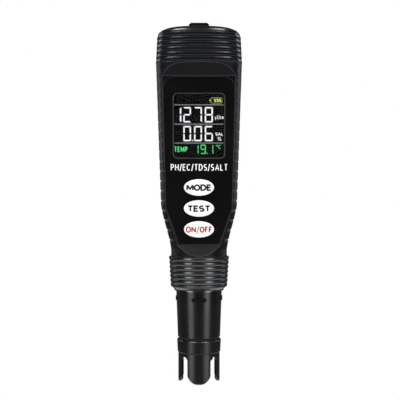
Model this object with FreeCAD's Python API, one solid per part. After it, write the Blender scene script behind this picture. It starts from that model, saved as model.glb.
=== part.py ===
import FreeCAD, Part
import math
import os

Vector = FreeCAD.Vector
UP = Vector(0, 0, 1)
ACROSS = Vector(1, 0, 0)
CENTRE = Vector(0, 0, 0)

# Sizes in millimetres. +Z runs up the pen, the display faces -Y, z = 0 is the middle of the barrel.

# Barrel
BARREL_TOP = 43.4
WAIST = -21.0
NECK_TOP = -41.5
NECK_END = -44.6
TOP_HALF_WIDTH = 19.84
TOP_HALF_DEPTH = 16.5
WAIST_HALF_WIDTH = 17.65
NECK_RADIUS = 13.03
TOP_SQUARENESS = 4.0
WAIST_SQUARENESS = 3.5
WALL = 1.8
FLOOR_THICKNESS = 2.1

# Slanted flat front
PANEL_MID_DEPTH = 11.46
PANEL_TILT = 3.13
PANEL_TOP = 37.35
PANEL_BOTTOM = -39.4
SCOOP_MARGIN = 0.4

# Grip ridges down both sides
RIDGE_TOP = 40.3
RIDGE_PITCH = 4.53
RIDGE_COUNT = 18
RIDGE_DEPTH = 0.42
RIDGE_HEIGHT = 0.95

# Resolution of the barrel's sections, and where round a section the side notches fade out
SECTION_POINTS = 28
TAPER_STEPS = 7
NOTCH_END = 0.62
NOTCH_FADE = 0.25

# Battery cap
CAP_GAP = 0.1
CAP_PROUD = 0.13
CAP_DRAFT = 0.035
CAP_RIB_PITCH = 2.3
CAP_RIB_COUNT = 6
CAP_RIB_DEPTH = 0.5
CROWN_SQUARENESS = 2.3
CROWN_RISE = 3.3
CROWN_EDGE = 4.5
CROWN_TOP_INSET = 12.0
CAP_WALL = 1.9
CAP_ROOF = 2.6
PLUG_DEPTH = 6.2
PLUG_GAP = 0.3
PLUG_WALL = 1.4
CAP_RING_HEIGHT = 1.6
CAP_RING_DEPTH = 0.7
CAP_RING_DROP = 2.4
CAP_RING_SEAT = 0.1
CAP_POST_RADIUS = 2.0
RUNNING_GAP = 0.08

# Strap lug on the crown
LUG_WIDTH = 9.3
LUG_DEPTH = 5.0
LUG_RISE = 3.3
LUG_CHAMFER = 0.95
LUG_HOLE_RADIUS = 1.2
LUG_HOLE_DROP = 1.9

# Front plate, window and keys, measured on the slanted front
PLATE_HALF_WIDTH = 16.2
PLATE_TOP = 36.9
PLATE_BOTTOM = -38.9
PLATE_TAPER_TOP = -22.5
PLATE_WAIST_HALF_WIDTH = 15.07
PLATE_FOOT_HALF_WIDTH = 9.0
PLATE_CORNER = 5.2
PLATE_THICKNESS = 0.8
PLATE_PROUD = 0.25
WINDOW_HALF_WIDTH = 11.75
WINDOW_TOP = 29.5
WINDOW_BOTTOM = 0.1
WINDOW_CORNER = 2.1
WINDOW_LEDGE = 1.0
LENS_THICKNESS = 1.1
LENS_GAP = 0.05
KEY_LENGTH = 13.65
KEY_HEIGHT = 7.4
KEY_PITCH = 9.52
KEY_TOP = -13.05
KEY_PROUD = 0.95
KEY_GAP = 0.15
KEY_FLANGE = 0.6
KEY_FLANGE_THICKNESS = 0.7
KEY_TRAVEL = 0.6
KEY_EDGE = 0.35

# Display and main board, depths counted in from the slanted front
LCD_FRONT = 2.2
LCD_THICKNESS = 1.8
LCD_HALF_WIDTH = 11.4
LCD_MARGIN = 0.6
LIGHT_THICKNESS = 0.9
FRAME_WALL = 0.7
BOARD_FRONT = 5.4
BOARD_THICKNESS = 1.0
BOARD_HALF_WIDTH = 13.0
BOARD_FOOT_HALF_WIDTH = 8.0
BOARD_TOP = 34.0
BOARD_SHOULDER = -19.0
BOARD_BOTTOM = -36.5
RAIL_THICKNESS = 0.9
RAIL_OVERLAP = 0.8
RAIL_GAP = 0.1
SWITCH_SIZE = 5.2
SWITCH_HEIGHT = 1.4
PLUNGER_RADIUS = 1.5
PLUNGER_GAP = 0.1
CHIP_THICKNESS = 1.0
PIN_SIZE = 0.4
LCD_PIN_COUNT = 9
LCD_PIN_PITCH = 2.2
CHIP_PLACES = ((0.0, -4.0, 10.0), (-6.0, -16.0, 5.5), (5.5, -16.0, 5.5), (0.0, -27.0, 4.5))
CRYSTAL_RADIUS = 1.0
CRYSTAL_LENGTH = 6.0
CRYSTAL_X = 7.5
CRYSTAL_FOOT = -9.0

# Cells and their tray
CELL_RADIUS = 5.25
CELL_LENGTH = 44.5
CELL_NUB_RADIUS = 1.9
CELL_NUB_HEIGHT = 0.8
CELL_OFFSET = 5.55
CELL_DEPTH = 4.2
TRAY_FLOOR = 7.0
TRAY_FLOOR_THICKNESS = 1.2
TRAY_WALL = 1.0
TRAY_GAP = 0.3
TRAY_HEIGHT = 29.5
TRAY_WINDOW_FOOT = 14.0
TRAY_WINDOW_EDGE = 3.0
POST_RADIUS = 1.4
POST_LENGTH = 8.0
POST_EDGE = 1.6
POST_FOOT = 3.0
POST_TOP = 23.0
CONTACT_HALF_WIDTH = 4.0
CONTACT_THICKNESS = 0.4
SPRING_HEIGHT = 2.2
SPRING_THICKNESS = 0.4
SPRING_HALF_LENGTH = 3.4
SPRING_HALF_WIDTH = 2.0
SPRING_PAD = 1.6
STRIP_HALF_LENGTH = 9.0
STRIP_HALF_DEPTH = 3.0

# Threaded spigot and ring nut
SPIGOT_RADIUS = 11.95
SPIGOT_BORE = 9.9
SPIGOT_LENGTH = 10.8
NUT_GAP = 0.15
NUT_BORE_GAP = 0.1
NUT_TIP_RADIUS = 14.04
NUT_FOOT_RADIUS = 13.31
NUT_RIB_PITCH = 2.1
NUT_RIB_COUNT = 7
NUT_RIB_DEPTH = 0.55
NUT_TIP_HEIGHT = 0.4
NUT_LIP_RADIUS = 11.05
NUT_LIP_OUTER = 11.5
NUT_LIP_THICKNESS = 2.3
NUT_RIM = 0.6
NUT_SHOULDER = 0.2
NUT_SHOULDER_HEIGHT = 0.9

# Probe tube
SEAL_THICKNESS = 1.6
FLANGE_THICKNESS = 1.3
FLANGE_GAP = 0.2
TUBE_TOP_RADIUS = 10.74
TUBE_FOOT_RADIUS = 9.87
TUBE_FOOT = -82.3
TUBE_BORE = 8.1
TUBE_PLUG_RADIUS = 9.6
TUBE_PLUG_GAP = 0.3
TUBE_PLUG_LENGTH = 4.4
STUB_RADIUS = 8.72
STUB_LENGTH = 6.6
DETENT_Z = -64.3
DETENT_LENGTH = 6.85
DETENT_HEIGHT = 1.8
DETENT_RADIUS = 10.9
DETENT_POCKET = 9.6
DETENT_COUNT = 4

# Socket, plug and pins between barrel and probe
SOCKET_FLANGE = 0.7
SOCKET_FLANGE_THICKNESS = 1.2
SOCKET_GAP = 0.05
PLUG_INSERT_THICKNESS = 3.0
PIN_RADIUS = 0.45
PIN_CIRCLE = 5.5
PIN_COUNT = 6
PIN_REACH = 4.6
RIBBON_HALF_WIDTH = 4.0
RIBBON_THICKNESS = 0.6

# Guard round the sensors
GASKET_RADIUS = 9.1
GASKET_THICKNESS = 1.0
RING_TOP_RADIUS = 10.22
RING_FOOT_RADIUS = 9.97
RING_HEIGHT = 6.0
RING_CHAMFER = 0.35
TONGUE_RADIUS = 9.66
TONGUE_THICKNESS = 1.2
TONGUE_LENGTH = 13.8
TONGUE_COUNT = 4
SLOT_WIDTH = 3.88
SLOT_DROP = 1.4
TONGUE_ROUND = 5.6
TONGUE_EDGE = 0.9

# Sensors
BOSS_RADIUS = 6.5
BOSS_LENGTH = 5.2
BOSS_CHAMFER = 1.2
BOSS_INSERT = 4.0
BOSS_FLANGE = 0.9
BOSS_FLAT = 5.3
STEM_RADIUS = 2.3
STEM_WALL = 0.5
STEM_TOP = -58.0
BULB_RADIUS = 2.9
BULB_DROP = 2.7
BULB_WALL = 0.4
WIRE_RADIUS = 0.35
SENSOR_FIT = 0.02
ELECTRODE_RADIUS = 0.8
ELECTRODE_REACH = 4.0
ELECTRODE_X = 4.1
ELECTRODE_Y = 1.5
THERMISTOR_RADIUS = 1.05
THERMISTOR_REACH = 4.6
JUNCTION_RADIUS = 0.9
JUNCTION_REACH = 0.6
SIDE_SENSOR_X = 3.85
SIDE_SENSOR_Y = -2.3
SLEEVE_WALL = 0.5
SLEEVE_LENGTH = 20.0


def export(name, shape):
    shape.exportStep("parts/" + name + ".step")


def box(x0, x1, y0, y1, z0, z1):
    return Part.makeBox(x1 - x0, y1 - y0, z1 - z0, Vector(x0, y0, z0))


def rod(radius, z0, z1, x=0.0, y=0.0):
    return Part.makeCylinder(radius, z1 - z0, Vector(x, y, z0))


def revolve(points):
    corners = [Vector(r, 0, z) for r, z in points]
    face = Part.Face(Part.makePolygon(corners + corners[:1]))
    return face.revolve(CENTRE, UP, 360)


def lean(shape):
    """Turn a shape drawn on an upright front onto the slanted front."""
    turned = shape.copy()
    turned.rotate(Vector(0, -PANEL_MID_DEPTH, 0), ACROSS, PANEL_TILT)
    return turned


def panel_y(z, depth=0.0):
    """Where the slanted front lies at a height, or a layer that deep behind it."""
    tilt = math.radians(PANEL_TILT)
    return -PANEL_MID_DEPTH + depth / math.cos(tilt) - z * math.tan(tilt)


def front_slab(outline, depth0, depth1):
    """A flat outline on the front, thickened from one depth behind the front to another."""
    face = Part.Face(outline)
    slab = face.extrude(Vector(0, depth1 - depth0, 0))
    slab.translate(Vector(0, -PANEL_MID_DEPTH + depth0, 0))
    return slab


def rounded_rectangle(half_width, z0, z1, corner):
    """An upright rounded rectangle in the XZ plane."""
    wire = Part.makePolygon([
        Vector(-half_width, 0, z0),
        Vector(half_width, 0, z0),
        Vector(half_width, 0, z1),
        Vector(-half_width, 0, z1),
        Vector(-half_width, 0, z0),
    ])
    face = Part.Face(wire)
    solid = face.extrude(Vector(0, 1, 0))
    edges = [e for e in solid.Edges if abs(e.tangentAt(e.FirstParameter).y) > 0.99]
    solid = solid.makeFillet(corner, edges)
    flat = [f for f in solid.Faces if abs(f.CenterOfMass.y) < 1e-6]
    return flat[0].OuterWire


def oval_wire(length, height, z):
    """An upright ellipse in the XZ plane."""
    ellipse = Part.Ellipse(CENTRE, length / 2, height / 2)
    edge = ellipse.toShape()
    edge.rotate(CENTRE, ACROSS, 90)
    edge.translate(Vector(0, 0, z))
    return Part.Wire(edge)


def barrel_size(z):
    """Half width, half depth and squareness of the barrel at a height."""
    if z >= WAIST:
        share = (min(z, BARREL_TOP) - WAIST) / (BARREL_TOP - WAIST)
        width = WAIST_HALF_WIDTH + (TOP_HALF_WIDTH - WAIST_HALF_WIDTH) * share
        depth = NECK_RADIUS + (TOP_HALF_DEPTH - NECK_RADIUS) * share
        square = WAIST_SQUARENESS + (TOP_SQUARENESS - WAIST_SQUARENESS) * min(1, 2 * share)
        return width, depth, square
    drop = min(1, (WAIST - z) / (WAIST - NECK_TOP))
    share = 1 - 0.6 * drop - 0.4 * drop * drop * (3 - 2 * drop)
    width = NECK_RADIUS + (WAIST_HALF_WIDTH - NECK_RADIUS) * share
    return width, NECK_RADIUS, 2.0 + (WAIST_SQUARENESS - 2.0) * share


def section(z, half_width, half_depth, squareness, side_notch=0.0):
    """A closed smooth curve, between a circle (2) and a rounded square (4), drawn in at its sides."""
    points = []
    for i in range(SECTION_POINTS):
        turn = 2 * math.pi * i / SECTION_POINTS
        c = abs(math.cos(turn) / half_width) ** squareness
        s = abs(math.sin(turn) / half_depth) ** squareness
        fade = min(1, max(0, (NOTCH_END - abs(math.sin(turn))) / NOTCH_FADE))
        reach = (c + s) ** (-1 / squareness) - side_notch * fade
        points.append(Vector(reach * math.cos(turn), reach * math.sin(turn), z))
    steps = [i / SECTION_POINTS for i in range(SECTION_POINTS + 1)]
    curve = Part.BSplineCurve()
    curve.interpolate(Points=points, PeriodicFlag=True, Parameters=steps)
    return Part.Wire(curve.toShape())


def barrel_section(z, inset, side_notch=0.0):
    width, depth, square = barrel_size(z)
    return section(z, width - inset, depth - inset, square, side_notch)


def taper_heights(bottom, top):
    """Heights between two ends where the barrel's outline bends."""
    heights = [(BARREL_TOP + WAIST) / 2]
    for i in range(TAPER_STEPS + 1):
        heights.append(WAIST + (NECK_TOP - WAIST) * i / TAPER_STEPS)
    return [z for z in heights if bottom + 0.3 < z < top - 0.3]


def barrel(bottom, top, inset):
    """A plain form that much inside the barrel's outside."""
    heights = sorted([bottom, top] + taper_heights(bottom, top))
    return Part.makeLoft([barrel_section(z, inset) for z in heights], True, True)


def ridged_barrel():
    """The barrel's outside, with its row of shallow grip notches down both sides."""
    wires = {}
    for i in range(RIDGE_COUNT):
        z = RIDGE_TOP - RIDGE_PITCH * i
        wires[z] = 0.0
        wires[z - 0.3 * RIDGE_HEIGHT] = RIDGE_DEPTH
        wires[z - RIDGE_HEIGHT] = 0.0
    for z in [NECK_END, BARREL_TOP] + taper_heights(NECK_END, BARREL_TOP):
        if min(abs(z - other) for other in wires) > RIDGE_HEIGHT:
            wires[z] = 0.0
    return Part.makeLoft([barrel_section(z, 0.0, wires[z]) for z in sorted(wires)], True, True)


def behind_front(shape, depth):
    """Cut away what lies in front of a plane that deep behind the slanted front."""
    tall = 3 * (BARREL_TOP - NECK_END)
    wide = 2 * TOP_HALF_WIDTH
    plane = -PANEL_MID_DEPTH + depth
    ahead = box(-wide, wide, plane - wide, plane, -tall / 2, tall / 2)
    return shape.cut(lean(ahead))


def front_cut():
    """The wedge that the flat front, the scoop above it and the facet below it take away."""
    def on(y0, z0, y1, z1, reach):
        return Vector(-1, y0 + (y1 - y0) * reach, z0 + (z1 - z0) * reach)
    reach = 4.0
    top = (panel_y(PANEL_TOP), PANEL_TOP)
    foot = (panel_y(PANEL_BOTTOM), PANEL_BOTTOM)
    apex = (-TOP_HALF_DEPTH, BARREL_TOP - SCOOP_MARGIN)
    chin = (-NECK_RADIUS, NECK_END + SCOOP_MARGIN)
    corners = [
        Vector(-1, foot[0], foot[1]),
        Vector(-1, top[0], top[1]),
        on(top[0], top[1], apex[0], apex[1], reach),
        on(foot[0], foot[1], chin[0], chin[1], reach),
    ]
    face = Part.Face(Part.makePolygon(corners + corners[:1]))
    wedge = face.extrude(Vector(4 * TOP_HALF_WIDTH, 0, 0))
    wedge.translate(Vector(1 - 2 * TOP_HALF_WIDTH, 0, 0))
    return wedge


def plate_outline(grow):
    """Front plate outline: rounded top corners and a foot that narrows with the barrel."""
    half = PLATE_HALF_WIDTH + grow
    foot = PLATE_FOOT_HALF_WIDTH + grow
    top = PLATE_TOP + grow
    bottom = PLATE_BOTTOM - grow
    waist = PLATE_WAIST_HALF_WIDTH + grow
    corner = PLATE_CORNER + grow
    bend = corner * (1 - math.sqrt(0.5))
    right = [
        Vector(foot, 0, bottom),
        Vector(waist, 0, PLATE_TAPER_TOP),
        Vector(half, 0, top - corner),
        Vector(half - bend, 0, top - bend),
        Vector(half - corner, 0, top),
    ]
    left = [Vector(-p.x, 0, p.z) for p in reversed(right)]
    edges = [
        Part.LineSegment(right[0], right[1]).toShape(),
        Part.LineSegment(right[1], right[2]).toShape(),
        Part.Arc(right[2], right[3], right[4]).toShape(),
        Part.LineSegment(right[4], left[0]).toShape(),
        Part.Arc(left[0], left[1], left[2]).toShape(),
        Part.LineSegment(left[2], left[3]).toShape(),
        Part.LineSegment(left[3], left[4]).toShape(),
        Part.LineSegment(left[4], right[0]).toShape(),
    ]
    return Part.Wire(edges)


def key_height(index):
    return KEY_TOP - KEY_PITCH * index


def key_ovals(grow, depth0, depth1):
    """The three oval holes for the keys, or larger or smaller ones."""
    ovals = []
    for i in range(3):
        wire = oval_wire(KEY_LENGTH + 2 * grow, KEY_HEIGHT + 2 * grow, key_height(i))
        ovals.append(front_slab(wire, depth0, depth1))
    return Part.makeCompound(ovals)


def housing():
    body = ridged_barrel().cut(front_cut())
    spigot_end = NECK_END - SPIGOT_LENGTH
    body = body.fuse(rod(SPIGOT_RADIUS, spigot_end, NECK_END + 0.5))
    floor = NECK_END + FLOOR_THICKNESS
    cavity = behind_front(barrel(floor, BARREL_TOP + 1, WALL), WALL)
    body = body.cut(cavity)
    body = body.cut(rod(SPIGOT_BORE, spigot_end - 1, floor + 1))
    recess = PLATE_THICKNESS - PLATE_PROUD
    body = body.cut(lean(front_slab(plate_outline(0.0), -2.0, recess)))
    seat = rounded_rectangle(WINDOW_HALF_WIDTH, WINDOW_BOTTOM, WINDOW_TOP, WINDOW_CORNER)
    body = body.cut(lean(front_slab(seat, -2.0, LENS_THICKNESS + LENS_GAP)))
    hole = rounded_rectangle(
        WINDOW_HALF_WIDTH - WINDOW_LEDGE, WINDOW_BOTTOM + WINDOW_LEDGE,
        WINDOW_TOP - WINDOW_LEDGE, WINDOW_CORNER / 2,
    )
    body = body.cut(lean(front_slab(hole, -2.0, WALL + 1)))
    body = body.cut(lean(key_ovals(KEY_GAP, -2.0, WALL + 1)))
    return body.fuse(board_rails()).removeSplitter()


def board_rails():
    """Grooved rails on both inner walls, which hold the long edges of the main board."""
    inside = behind_front(barrel(BOARD_SHOULDER - 5, BOARD_TOP + 5, WALL * 0.6), WALL)
    rails = []
    for side in (-1, 1):
        near = side * (BOARD_HALF_WIDTH - RAIL_OVERLAP)
        far = side * TOP_HALF_WIDTH
        x0 = min(near, far)
        x1 = max(near, far)
        front = BOARD_FRONT - RAIL_GAP
        back = BOARD_FRONT + BOARD_THICKNESS + RAIL_GAP
        for y0, y1 in ((front - RAIL_THICKNESS, front), (back, back + RAIL_THICKNESS)):
            strip = box(
                x0, x1, y0 - PANEL_MID_DEPTH, y1 - PANEL_MID_DEPTH,
                BOARD_SHOULDER + 1, BOARD_TOP - 2,
            )
            rails.append(lean(strip).common(inside))
    return Part.makeCompound(rails)


def front_plate():
    plate = front_slab(plate_outline(-LENS_GAP), -PLATE_PROUD, PLATE_THICKNESS - PLATE_PROUD)
    lens = rounded_rectangle(WINDOW_HALF_WIDTH, WINDOW_BOTTOM, WINDOW_TOP, WINDOW_CORNER)
    plate = plate.cut(front_slab(lens, -2.0, 2.0))
    plate = plate.cut(key_ovals(KEY_GAP, -2.0, 2.0))
    return lean(plate)


def display_lens():
    wire = rounded_rectangle(
        WINDOW_HALF_WIDTH - LENS_GAP, WINDOW_BOTTOM + LENS_GAP,
        WINDOW_TOP - LENS_GAP, WINDOW_CORNER - LENS_GAP,
    )
    return lean(front_slab(wire, -PLATE_PROUD, LENS_THICKNESS))


def key(index):
    """A white oval cap with a softened rim and a flange that stops it behind the front wall."""
    z = key_height(index)
    cap = front_slab(oval_wire(KEY_LENGTH, KEY_HEIGHT, z), -KEY_PROUD, WALL + KEY_FLANGE_THICKNESS)
    rim = [e for e in cap.Edges if abs(e.CenterOfMass.y - (-PANEL_MID_DEPTH - KEY_PROUD)) < 0.01]
    cap = cap.makeChamfer(KEY_EDGE, rim)
    wire = oval_wire(KEY_LENGTH + 2 * KEY_FLANGE, KEY_HEIGHT + 2 * KEY_FLANGE, z)
    flange = front_slab(wire, WALL, WALL + KEY_FLANGE_THICKNESS)
    return lean(cap.fuse(flange).removeSplitter())


def lcd_outline(grow):
    bottom = WINDOW_BOTTOM - LCD_MARGIN
    top = WINDOW_TOP + LCD_MARGIN
    half = LCD_HALF_WIDTH + grow
    return rounded_rectangle(half, bottom - grow, top + grow, 0.4)


def lcd_glass():
    return lean(front_slab(lcd_outline(0), LCD_FRONT, LCD_FRONT + LCD_THICKNESS))


def lcd_backlight():
    start = LCD_FRONT + LCD_THICKNESS
    return lean(front_slab(lcd_outline(0), start, start + LIGHT_THICKNESS))


def lcd_frame():
    """A frame round the glass and its light, standing on the board."""
    frame = front_slab(lcd_outline(FRAME_WALL), LCD_FRONT, BOARD_FRONT)
    return lean(frame.cut(front_slab(lcd_outline(0.05), LCD_FRONT - 1, BOARD_FRONT + 1)))


def lcd_pins():
    """A row of pins below the light, from the glass down to the board."""
    start = LCD_FRONT + LCD_THICKNESS + LIGHT_THICKNESS
    pins = []
    for i in range(LCD_PIN_COUNT):
        x = (i - (LCD_PIN_COUNT - 1) / 2) * LCD_PIN_PITCH
        z = WINDOW_BOTTOM + 1
        pins.append(box(
            x - PIN_SIZE / 2, x + PIN_SIZE / 2,
            start - PANEL_MID_DEPTH, BOARD_FRONT - PANEL_MID_DEPTH,
            z - PIN_SIZE / 2, z + PIN_SIZE / 2,
        ))
    return lean(Part.makeCompound(pins))


def main_board():
    half = BOARD_HALF_WIDTH
    foot = BOARD_FOOT_HALF_WIDTH
    corners = [
        Vector(-foot, 0, BOARD_BOTTOM),
        Vector(foot, 0, BOARD_BOTTOM),
        Vector(half, 0, BOARD_SHOULDER),
        Vector(half, 0, BOARD_TOP),
        Vector(-half, 0, BOARD_TOP),
        Vector(-half, 0, BOARD_SHOULDER),
    ]
    wire = Part.makePolygon(corners + corners[:1])
    return lean(front_slab(wire, BOARD_FRONT, BOARD_FRONT + BOARD_THICKNESS))


def switch_bodies():
    bodies = []
    half = SWITCH_SIZE / 2
    for i in range(3):
        z = key_height(i)
        bodies.append(box(
            -half, half,
            BOARD_FRONT - SWITCH_HEIGHT - PANEL_MID_DEPTH, BOARD_FRONT - PANEL_MID_DEPTH,
            z - half, z + half,
        ))
    return lean(Part.makeCompound(bodies))


def switch_plungers():
    """Round plungers that stand just short of the keys' deepest press."""
    plungers = []
    near = WALL + KEY_FLANGE_THICKNESS + KEY_TRAVEL + PLUNGER_GAP
    for i in range(3):
        base = Vector(0, near - PANEL_MID_DEPTH, key_height(i))
        reach = BOARD_FRONT - SWITCH_HEIGHT - near
        plungers.append(Part.makeCylinder(PLUNGER_RADIUS, reach, base, Vector(0, 1, 0)))
    return lean(Part.makeCompound(plungers))


def board_chips():
    """Controller, amplifier and memory on the back of the board, below the tray."""
    back = BOARD_FRONT + BOARD_THICKNESS - PANEL_MID_DEPTH
    chips = []
    for x, z, side in CHIP_PLACES:
        half = side / 2
        chips.append(box(x - half, x + half, back, back + CHIP_THICKNESS, z - half, z + half))
    return lean(Part.makeCompound(chips))


def crystal_can():
    back = BOARD_FRONT + BOARD_THICKNESS - PANEL_MID_DEPTH
    base = Vector(CRYSTAL_X, back + CRYSTAL_RADIUS, CRYSTAL_FOOT)
    return lean(Part.makeCylinder(CRYSTAL_RADIUS, CRYSTAL_LENGTH, base, UP))


def cell_base():
    return TRAY_FLOOR + TRAY_FLOOR_THICKNESS + CONTACT_THICKNESS + SPRING_HEIGHT


def cell(side, nub_up):
    """A penlight cell that stands on end, its nub at the top or at the foot."""
    base = cell_base()
    can_base = base if nub_up else base + CELL_NUB_HEIGHT
    can = rod(CELL_RADIUS, can_base, can_base + CELL_LENGTH - CELL_NUB_HEIGHT)
    can = can.makeFillet(0.4, [e for e in can.Edges if len(e.Vertexes) == 1])
    nub_base = base + CELL_LENGTH - CELL_NUB_HEIGHT if nub_up else base
    nub = rod(CELL_NUB_RADIUS, nub_base, nub_base + CELL_NUB_HEIGHT)
    whole = can.fuse(nub).removeSplitter()
    whole.translate(Vector(side * CELL_OFFSET, CELL_DEPTH, 0))
    return whole


def tray_span():
    half = CELL_OFFSET + CELL_RADIUS + TRAY_GAP + TRAY_WALL
    deep = CELL_RADIUS + TRAY_GAP + TRAY_WALL
    return half, CELL_DEPTH - deep, CELL_DEPTH + deep


def battery_tray():
    """An open box for two cells, with posts in front that bear on the board."""
    half, front, back = tray_span()
    top = TRAY_FLOOR + TRAY_HEIGHT
    tray = box(-half, half, front, back, TRAY_FLOOR, top)
    inner = half - TRAY_WALL
    hollow = box(
        -inner, inner, front + TRAY_WALL, back - TRAY_WALL,
        TRAY_FLOOR + TRAY_FLOOR_THICKNESS, top + 1,
    )
    tray = tray.cut(hollow)
    edge = inner - TRAY_WINDOW_EDGE
    window = box(-edge, edge, front - 1, front + TRAY_WALL + 1, TRAY_FLOOR + TRAY_WINDOW_FOOT, top + 1)
    tray = tray.cut(window)
    board_back = BOARD_FRONT + BOARD_THICKNESS - PANEL_MID_DEPTH
    for side in (-1, 1):
        for z in (TRAY_FLOOR + POST_FOOT, TRAY_FLOOR + POST_TOP):
            base = Vector(side * (half - POST_EDGE), board_back, z)
            post = lean(Part.makeCylinder(POST_RADIUS, POST_LENGTH, base, Vector(0, 1, 0)))
            inside = box(-half, half, -TOP_HALF_DEPTH, front + TRAY_WALL, z - POST_LENGTH, z + POST_LENGTH)
            tray = tray.fuse(post.common(inside))
    return tray.removeSplitter()


def tray_contacts():
    """Two plates on the tray's floor; the right one is raised to meet a nub."""
    z0 = TRAY_FLOOR + TRAY_FLOOR_THICKNESS
    plates = []
    for side in (-1, 1):
        x = side * CELL_OFFSET
        plate = box(
            x - CONTACT_HALF_WIDTH, x + CONTACT_HALF_WIDTH,
            CELL_DEPTH - CONTACT_HALF_WIDTH, CELL_DEPTH + CONTACT_HALF_WIDTH,
            z0, z0 + CONTACT_THICKNESS,
        )
        if side > 0:
            plate = plate.fuse(rod(CELL_NUB_RADIUS, z0, cell_base(), x, CELL_DEPTH)).removeSplitter()
        plates.append(plate)
    return Part.makeCompound(plates)


def cell_spring():
    """A leaf bent back over itself, which pushes the left cell up."""
    z0 = TRAY_FLOOR + TRAY_FLOOR_THICKNESS + CONTACT_THICKNESS
    z1 = z0 + SPRING_HEIGHT
    end = SPRING_HALF_LENGTH
    thick = SPRING_THICKNESS
    outline = [
        (-end, z0), (end, z0), (end, z0 + thick), (SPRING_PAD - end, z1), (-end, z1),
        (-end, z1 - thick), (SPRING_PAD - end - thick, z1 - thick),
        (end - 3 * thick, z0 + thick), (-end, z0 + thick),
    ]
    corners = [Vector(x - CELL_OFFSET, CELL_DEPTH - SPRING_HALF_WIDTH, z) for x, z in outline]
    face = Part.Face(Part.makePolygon(corners + corners[:1]))
    return face.extrude(Vector(0, 2 * SPRING_HALF_WIDTH, 0))


def cap_base():
    return BARREL_TOP + CAP_GAP


def cap_crown_foot():
    return cap_base() + CAP_RIB_PITCH * CAP_RIB_COUNT


def cap_section(z, inset):
    """The cap's outline at a height, drawn in by its draft and rounder towards the crown."""
    share = (z - cap_base()) / (CAP_RIB_PITCH * CAP_RIB_COUNT + CROWN_RISE)
    square = TOP_SQUARENESS + (CROWN_SQUARENESS - TOP_SQUARENESS) * share
    grow = CAP_PROUD - CAP_DRAFT * (z - cap_base()) - inset
    return section(z, TOP_HALF_WIDTH + grow, TOP_HALF_DEPTH + grow, square)


def cap_shell():
    """Ribbed sides and a domed crown as one ruled skin."""
    wires = []
    for i in range(CAP_RIB_COUNT):
        foot = cap_base() + CAP_RIB_PITCH * i
        wires.append(cap_section(foot, CAP_RIB_DEPTH))
        wires.append(cap_section(foot + 0.22 * CAP_RIB_PITCH, 0.04))
        wires.append(cap_section(foot + 0.62 * CAP_RIB_PITCH, 0.0))
    foot = cap_crown_foot()
    wires.append(cap_section(foot, CAP_RIB_DEPTH))
    for rise, inset in ((0.1, 0.32), (0.3, 0.62), (0.55, 1.45), (0.75, 2.7), (0.87, 4.5)):
        wires.append(cap_section(foot + rise * CROWN_RISE, inset * CROWN_EDGE / 4.5))
    wires.append(cap_section(foot + CROWN_RISE, CROWN_TOP_INSET))
    return Part.makeLoft(wires, True, True)


def mouth(z0, z1, inset):
    """The inside of the barrel's mouth, or a plug that much smaller."""
    return behind_front(barrel(z0, z1, WALL + inset), WALL + inset)


def strap_lug():
    """A chamfered block on the crown with a cross hole."""
    top = cap_crown_foot() + CROWN_RISE + LUG_RISE
    base = cap_crown_foot() + CROWN_RISE * 0.6
    half = LUG_WIDTH / 2
    deep = LUG_DEPTH / 2
    block = box(-half, half, -deep, deep, base, top)
    rim = [e for e in block.Edges if abs(e.CenterOfMass.z - top) < 1e-6]
    block = block.makeChamfer(LUG_CHAMFER, rim)
    start = Vector(-LUG_WIDTH, 0, top - LUG_HOLE_DROP)
    hole = Part.makeCylinder(LUG_HOLE_RADIUS, 2 * LUG_WIDTH, start, ACROSS)
    return block, hole


def strip_height():
    return cell_base() + CELL_LENGTH + 0.05


def battery_cap():
    shell = cap_shell()
    base = cap_base()
    roof = cap_crown_foot() + CROWN_RISE - CAP_ROOF
    bottom = BARREL_TOP - PLUG_DEPTH
    plug = mouth(bottom, base + 0.5, PLUG_GAP)
    cap = shell.fuse(plug)
    inner = PLUG_GAP + PLUG_WALL
    cap = cap.cut(mouth(bottom - 1, BARREL_TOP, inner))
    low = barrel_size(BARREL_TOP)
    cavity = Part.makeLoft([
        section(BARREL_TOP - 0.2, low[0] - WALL - inner, low[1] - WALL - inner, TOP_SQUARENESS),
        cap_section(roof - CAP_WALL, 2 * CAP_WALL),
        cap_section(roof, 3 * CAP_WALL),
    ], True, True)
    cavity = behind_front(cavity, WALL + inner)
    cap = cap.cut(cavity)
    ring_top = BARREL_TOP - CAP_RING_DROP
    band = mouth(ring_top - CAP_RING_HEIGHT, ring_top, CAP_RING_SEAT)
    band = band.cut(mouth(ring_top - CAP_RING_HEIGHT - 1, ring_top + 1, PLUG_GAP + CAP_RING_DEPTH))
    cap = cap.cut(band)
    for side in (-1, 1):
        boss = rod(CAP_POST_RADIUS, strip_height() + CONTACT_THICKNESS, roof + 0.5, side * CELL_OFFSET, CELL_DEPTH)
        cap = cap.fuse(boss)
    block, hole = strap_lug()
    return cap.fuse(block).cut(hole).removeSplitter()


def cap_ring():
    """The cap's seal, in the plug's groove and just clear of the mouth."""
    top = BARREL_TOP - CAP_RING_DROP
    ring = mouth(top - CAP_RING_HEIGHT, top, RUNNING_GAP)
    return ring.cut(mouth(top - CAP_RING_HEIGHT - 1, top + 1, PLUG_GAP + CAP_RING_DEPTH))


def cap_strip():
    """The bridge contact that joins both cells, on two posts under the crown."""
    z = strip_height()
    return box(
        -STRIP_HALF_LENGTH, STRIP_HALF_LENGTH,
        CELL_DEPTH - STRIP_HALF_DEPTH, CELL_DEPTH + STRIP_HALF_DEPTH,
        z, z + CONTACT_THICKNESS,
    )


def seal_top():
    return NECK_END - SPIGOT_LENGTH


def flange_top():
    return seal_top() - SEAL_THICKNESS


def flange_foot():
    return flange_top() - FLANGE_THICKNESS


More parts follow.
